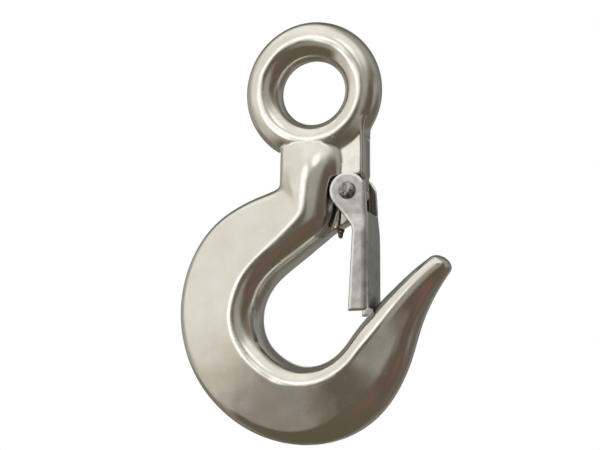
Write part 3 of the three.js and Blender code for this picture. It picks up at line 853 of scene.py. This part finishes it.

# %% [markdown]
# The edges are rubbed smooth and carry a painted highlight, so the finish has to know where they
# are. The same outline formula gives each point's distance from the edge, and a soft mask of it
# is kept on the mesh.

# %% Mark the latch's rim
places = np.zeros(3 * len(latch.data.vertices))
latch.data.vertices.foreach_get("co", places)
places = places.reshape(-1, 3) / metres_per_mm
from_rim = soft_max(
    latch_outline(places[:, 0] - pivot[0], places[:, 2] - pivot[1]),
    pivot[1] - places[:, 2] - latch_length, plain_edge,
)
on_rim = smoothstep(from_rim, -rim_width - rim_fade / 2, -rim_width + rim_fade / 2)
latch.data.attributes.new("rim", "FLOAT", "POINT").data.foreach_set("value", on_rim)
print(f"{on_rim.mean():.0%} of the latch's points lie on its tumbled rim")

# %% [markdown]
# ## Rivet
#
# The rivet is turned round its own axis, so its outline is spun. The near head was beaten over
# cold: its dome is low, its rim is uneven and its top is dented. A little noise in the height
# of the near head gives the dents.

# %% Spin the rivet
rivet_radius = 1.7
near_head_radius, near_head_height = 2.25, 1.0
far_head_radius, far_head_height = 2.7, 1.3
head_seat = ear_outside + 0.2
dent_depth, dents_per_mm, dent_shift = 0.20, 1.1, Vector((3.0, 0.0, 0.4))
flatten_side, flatten_top = 0.8, 0.9
spin_steps = 96


def dome(radius, height, start, end, steps=22):
    """Radius and height along a head that is flatter than a ball."""
    angles = np.linspace(start, end, steps)
    return [
        (radius * math.sin(a) ** flatten_side, height * math.cos(a) ** flatten_top)
        for a in angles
    ]


quarter = math.pi / 2 - 1e-6
near_head = [(r, -head_seat - h) for r, h in dome(near_head_radius, near_head_height, 0, quarter)]
far_head = [(r, head_seat + h) for r, h in dome(far_head_radius, far_head_height, quarter, 0)]
profile = near_head + [(rivet_radius, -head_seat), (rivet_radius, head_seat)] + far_head

print("the rivet's outline has", len(profile), "points")

# %% [markdown]
# The outline is spun by hand rather than with a screw modifier, because each point of the near
# head is also pushed in by the noise. The push fades out towards the head's rim.

# %% Beat the near head and close the rivet
rivet_points = []
for radius, along in profile:
    for step in range(spin_steps):
        angle = 2 * math.pi * step / spin_steps
        x, z = radius * math.cos(angle), radius * math.sin(angle)
        y = along
        if along < -head_seat:
            dent = noise.noise(Vector((x, z, 0.0)) * dents_per_mm + dent_shift) + 0.5
            fade = smoothstep(-along, head_seat, head_seat + near_head_height / 2)
            y = along + dent_depth * min(max(dent, 0.0), 1.0) * float(fade)
        rivet_points.append((pivot[0] + x, y, pivot[1] + z))
rivet_faces = []
for ring in range(len(profile) - 1):
    for step in range(spin_steps):
        ahead = (step + 1) % spin_steps
        low, high = ring * spin_steps, (ring + 1) * spin_steps
        rivet_faces.append((low + step, high + step, high + ahead, low + ahead))
rivet_faces.append(tuple(range(spin_steps)))
last_ring = (len(profile) - 1) * spin_steps
rivet_faces.append(tuple(reversed(range(last_ring, last_ring + spin_steps))))
rivet = add_piece("rivet_pin", np.array(rivet_points), rivet_faces)
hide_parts("latch_rivet")
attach(rivet, "latch_arm")
print("the rivet has", len(rivet_points), "points")

# %% [markdown]
# ## Spring
#
# The spring is one wire. A curve with a bevel would draw it, but here each half has to twist as
# the latch opens: the loop stays on the forging and the leg goes with the latch. So each half is
# a mesh tube of its own.

# %% Sizes of the spring
wire_diameter, coil_radius, coil_pitch, coil_turns = 0.8, 2.8, 1.25, 1.5
coil_side_gap, loop_foot_share, loop_wall_gap = 0.16, 0.4, 1.3
leg_length, leg_web_gap = 16.0, 0.3
coil_steps, wire_sides = 48, 14
loop_side = cam_thickness / 2 + coil_side_gap + wire_diameter / 2
coil_side = loop_side + coil_turns * coil_pitch

wall_point = np.array([station_at(gusset_place)[0, 0], pivot[1] - gusset_drop])
edge_run = (gusset_corner - wall_point) / np.linalg.norm(gusset_corner - wall_point)
foot = wall_point + (gusset_corner - wall_point) * loop_foot_share
foot = foot + np.array([edge_run[1], -edge_run[0]]) * (wire_diameter / 2 + loop_wall_gap)
leg_x = pivot[0] + web_offset - latch_sheet - leg_web_gap - wire_diameter / 2
print("the loop's foot lies at", [round(value, 2) for value in foot])

# %% [markdown]
# The loop is a narrow hairpin whose sides open out before they reach the coils. It is drawn
# through a few listed places. The coil is a helix, and the leg runs straight down the web.

# %% Draw the wire's line
# Way out to the side and way up from the foot, as shares of the loop's half width.
loop_shares = (
    (-0.234, 0.031), (0.0, 0.0), (0.234, 0.031), (0.371, 0.176), (0.430, 0.352), (0.625, 0.566),
    (0.918, 0.762), (1.0, 1.094), (1.0, 1.484),
)


def smooth_through(points, steps=6):
    """A curve through the points, from the second to the last but one."""
    curve = []
    for k in range(1, len(points) - 2):
        before, start, end, after = (np.array(points[k + offset]) for offset in (-1, 0, 1, 2))
        for t in np.arange(steps) / steps:
            curve.append(0.5 * (
                2 * start + (end - before) * t
                + (2 * before - 5 * start + 4 * end - after) * t ** 2
                + (3 * start - before - 3 * end + after) * t ** 3
            ))
    return curve


def wire_line(side):
    """Middle line of one half of the wire, from the loop's middle to the leg's end."""
    line = [
        (foot[0], side * out * loop_side, foot[1] + up * loop_side)
        for out, up in smooth_through(loop_shares)
    ]
    for share in np.linspace(0, 1, int(coil_steps * coil_turns) + 1):
        angle = math.pi - 2 * math.pi * coil_turns * share
        out = loop_side + (coil_side - loop_side) * share
        x = pivot[0] + coil_radius * math.cos(angle)
        line.append((x, side * out, pivot[1] + coil_radius * math.sin(angle)))
    line.append((leg_x, side * coil_side, pivot[1] - leg_length + wire_diameter))
    line.append((leg_x, side * coil_side, pivot[1] - leg_length))
    return np.array(line)


near_line = wire_line(-1)
print(f"half of the wire is {np.linalg.norm(np.diff(near_line, axis=0), axis=1).sum():.1f} mm long")

# %% [markdown]
# A tube is a ring of points round each place of the line. Each ring starts from the direction of
# the one before it, so the tube never twists. Smaller rings round off the leg's end.

# %% Build a tube
end_angles = np.linspace(0.3, 1.45, 5)


def tube(line, radius, sides):
    """Points and faces of a round tube along a line, with its last end rounded."""
    rings = []
    across = np.array([1.0, 0.0, 0.0])
    ahead = np.array([0.0, 0.0, 1.0])
    for i, point in enumerate(line):
        run = line[min(i + 1, len(line) - 1)] - line[max(i - 1, 0)]
        ahead = run / np.linalg.norm(run)
        across = across - ahead * across.dot(ahead)
        across = across / np.linalg.norm(across)
        rings.append((point, across, np.cross(ahead, across), 1.0))
    for angle in end_angles:
        end = line[-1] + ahead * radius * (math.sin(angle) - 1.0)
        rings.append((end, across, np.cross(ahead, across), math.cos(angle)))
    points, faces = [], []
    for point, over, up, scale in rings:
        for step in range(sides):
            angle = 2 * math.pi * step / sides
            points.append(point + (over * math.cos(angle) + up * math.sin(angle)) * radius * scale)
    for ring in range(len(rings) - 1):
        for step in range(sides):
            beside = (step + 1) % sides
            low, high = ring * sides, (ring + 1) * sides
            faces.append((low + step, low + beside, high + beside, high + step))
    last = (len(rings) - 1) * sides
    faces.append(tuple(range(last, last + sides)))
    faces.append(tuple(reversed(range(sides))))
    return np.array(points), faces


print("an end is rounded by", len(end_angles), "rings")

# %% [markdown]
# The loop stays with the forging and the leg goes with the latch, so each half is a piece of its
# own.

# %% Add both halves of the spring
springs = []
for name, side in (("spring_near", -1), ("spring_far", 1)):
    points, faces = tube(wire_line(side), wire_diameter / 2, wire_sides)
    spring = add_piece(name, points, faces)
    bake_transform(spring)
    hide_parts("latch_spring")
    springs.append(spring)
print("the coils lie from", loop_side, "to", coil_side, "mm beside the middle")

# %% [markdown]
# ## Metals
#
# All four finishes are bare steel, so all four are full metal. They differ in how wide each
# point scatters the room, and in the small unevenness that stands for their making.
#
# Each is a small network of noise. A class holds what they share, so that each finish below is
# only its own colours, sizes and layers.

# %% Shared start of the metals
# Painted shade: colours go nearly black where the ambient occlusion finds nearby steel closing a place
# in.
painted_shade = (0.05, 0.045, 0.04)
painted_shade_reach, painted_shade_start, painted_shade_full = 5.0, 0.62, 0.30


class Metal:
    """A bare metal. Colour, roughness and bump each change a little from place to place."""

    def __init__(self, name, roughness):
        self.material = bpy.data.materials.new(name)
        self.material.use_nodes = True
        self.tree = self.material.node_tree
        self.shader = self.tree.nodes["Principled BSDF"]
        self.shader.inputs["Metallic"].default_value = 1.0
        self.shader.inputs["Roughness"].default_value = roughness
        self.place = self.tree.nodes.new("ShaderNodeTexCoord").outputs["Object"]
        self.bump = None

    def noise(self, size, detail=2.0, stretch=(1.0, 1.0, 1.0)):
        """Cloudy noise from 0 to 1. Size is in millimetres, and stretch makes it longer."""
        squeeze = self.tree.nodes.new("ShaderNodeMapping")
        squeeze.inputs["Scale"].default_value = tuple(1 / (size * metres_per_mm * s) for s in stretch)
        self.tree.links.new(self.place, squeeze.inputs["Vector"])
        cloud = self.tree.nodes.new("ShaderNodeTexNoise")
        cloud.inputs["Scale"].default_value = 1.0
        cloud.inputs["Detail"].default_value = detail
        self.tree.links.new(squeeze.outputs["Vector"], cloud.inputs["Vector"])
        return cloud.outputs[0]

    def between(self, share, start, end, low, high):
        """A number that goes from low to high as the share goes from start to end."""
        span = self.tree.nodes.new("ShaderNodeMapRange")
        span.inputs["From Min"].default_value = start
        span.inputs["From Max"].default_value = end
        span.inputs["To Min"].default_value = low
        span.inputs["To Max"].default_value = high
        self.tree.links.new(share, span.inputs["Value"])
        return span.outputs["Result"]

    def mix(self, share, low, high):
        """Blends two colours or two sockets."""
        blend = self.tree.nodes.new("ShaderNodeMix")
        blend.data_type = "RGBA"
        self.tree.links.new(share, blend.inputs["Factor"])
        for name, colour in (("A", low), ("B", high)):
            if isinstance(colour, tuple):
                blend.inputs[name].default_value = (*colour, 1.0)
            else:
                self.tree.links.new(colour, blend.inputs[name])
        return blend.outputs["Result"]

    def with_painted_shade(self, bare):
        """The bare colour in the open, and painted shade where nearby steel closes a place in."""
        around = self.tree.nodes.new("ShaderNodeAmbientOcclusion")
        around.inputs["Distance"].default_value = painted_shade_reach * metres_per_mm
        around.samples = 8
        closed_in = self.between(around.outputs["AO"], painted_shade_start, painted_shade_full, 0.0, 1.0)
        return self.mix(closed_in, bare, painted_shade)

    def feed(self, name, value):
        self.tree.links.new(value, self.shader.inputs[name])

    def raise_by(self, height, millimetres):
        """Adds one more layer of bump over the ones before it."""
        layer = self.tree.nodes.new("ShaderNodeBump")
        layer.inputs["Distance"].default_value = millimetres * metres_per_mm
        self.tree.links.new(height, layer.inputs["Height"])
        if self.bump is not None:
            self.tree.links.new(self.bump, layer.inputs["Normal"])
        self.bump = layer.outputs["Normal"]
        self.tree.links.new(self.bump, self.shader.inputs["Normal"])


print("grease starts where", painted_shade_start, "of the view is open")

# %% [markdown]
# The forging was ground and then buffed by hand. That leaves slow waves, which bend the
# reflections, and a fine grain. The buffing wheel's wax dulls it in soft patches, and a few small
# pits of the forging skin are left.

# %% Polished steel of the forging
wave_length, wave_height = 11.0, 0.30
ripple_length, ripple_height = 2.6, 0.014
grain_length, grain_height = 0.55, 0.003
pit_spacing, pit_depth = 0.9, 0.02
wax_length, stain_length = 3.5, 7.0

polished = Metal("polished_steel", roughness=0.15)
stain = polished.between(polished.noise(stain_length, detail=3.0), 0.35, 0.70, 0.0, 1.0)
polished.feed("Base Color", polished.mix(stain, (0.82, 0.81, 0.79), (0.76, 0.74, 0.70)))
wax = polished.noise(wax_length, detail=4.0)
polished.feed("Roughness", polished.between(wax, 0.30, 0.72, 0.11, 0.24))
polished.raise_by(polished.noise(wave_length, detail=1.0), wave_height)
polished.raise_by(polished.noise(ripple_length), ripple_height)
polished.raise_by(polished.noise(grain_length), grain_height)
pits = polished.between(polished.noise(pit_spacing, detail=1.0), 0.72, 0.80, 0.0, 1.0)
polished.raise_by(pits, -pit_depth)
hook_body.data.materials.append(polished.material)
print("the forging's waves are", wave_length, "mm long and", wave_height, "mm high")

# %% [markdown]
# The latch was barrel-finished: its faces are matt and a little cloudy, and its edges are rubbed
# smooth and carry a painted highlight. The mask that was measured on its mesh says where the rim
# is. Inside the fold, where the spring sits, painted shade makes the colour nearly black.

# %% Satin steel of the latch
cloud_length, haze_length = 1.9, 1.3
dimple_length, dimple_height = 2.4, 0.05
tumble_length, tumble_height = 0.45, 0.008
# The rim's lighter colour is a painted highlight; its lower roughness is the rubbed finish.
rim_highlight_colour, rim_roughness = (0.84, 0.85, 0.86), 0.19

satin = Metal("satin_steel", roughness=0.42)
rim_mask = satin.tree.nodes.new("ShaderNodeAttribute")
rim_mask.attribute_name = "rim"
rim_share = rim_mask.outputs["Fac"]
cloud = satin.between(satin.noise(cloud_length, detail=4.0), 0.34, 0.66, 0.0, 1.0)
sheet_colour = satin.mix(cloud, (0.54, 0.545, 0.54), (0.70, 0.705, 0.71))
# Painted highlight on the rim, and painted shade inside the fold, over the sheet's cloudy colour.
satin.feed("Base Color", satin.with_painted_shade(satin.mix(rim_share, sheet_colour, rim_highlight_colour)))
haze = satin.between(satin.noise(haze_length, detail=3.0), 0.3, 0.7, 0.34, 0.50)
rubbed = satin.tree.nodes.new("ShaderNodeMix")
rubbed.inputs["B"].default_value = rim_roughness
satin.tree.links.new(rim_share, rubbed.inputs["Factor"])
satin.tree.links.new(haze, rubbed.inputs["A"])
satin.feed("Roughness", rubbed.outputs["Result"])
satin.raise_by(satin.noise(dimple_length), dimple_height)
satin.raise_by(satin.noise(tumble_length, detail=3.0), tumble_height)
latch.data.materials.append(satin.material)
print("the latch's rim has a roughness of", rim_roughness)

# %% [markdown]
# The rivet's head was beaten over cold. Its colour has painted shade in its dents and a painted
# highlight on its high spots, from the same noise that raises its bump. The spring is drawn wire,
# brown and cloudy in tone, with fine lines along it.

# %% Peened steel and spring steel
beat_length, beat_height, scuff_length = 1.1, 0.10, 0.7
wire_tone_length, oxide_length = 1.6, 0.9
draw_length, draw_height, draw_stretch = 0.16, 0.01, (1.0, 1.0, 14.0)

peened = Metal("peened_steel", roughness=0.34)
beaten = peened.noise(beat_length, detail=3.0)
relief_light_and_shade = peened.between(beaten, 0.36, 0.64, 0.0, 1.0)
# Painted shade in the dents and a painted highlight on the high spots.
peened.feed("Base Color", peened.mix(relief_light_and_shade, (0.20, 0.20, 0.21), (0.55, 0.56, 0.57)))
peened.feed("Roughness", peened.between(peened.noise(scuff_length), 0.3, 0.7, 0.26, 0.46))
peened.raise_by(beaten, beat_height)
rivet.data.materials.append(peened.material)

temper = Metal("spring_steel", roughness=0.30)
# The wire's colour is brown, lighter and darker in clouds.
wire_tone = temper.between(temper.noise(wire_tone_length), 0.35, 0.65, 0.0, 1.0)
wire_colour = temper.mix(wire_tone, (0.30, 0.26, 0.21), (0.52, 0.48, 0.43))
# Painted shade darkens the wire where nearby steel closes it in.
temper.feed("Base Color", temper.with_painted_shade(wire_colour))
temper.feed("Roughness", temper.between(temper.noise(oxide_length), 0.3, 0.7, 0.24, 0.42))
temper.raise_by(temper.noise(draw_length, detail=1.0, stretch=draw_stretch), draw_height)
for spring in springs:
    spring.data.materials.append(temper.material)
print("pieces with a metal:", [piece.name for piece in (hook_body, latch, rivet, *springs)])
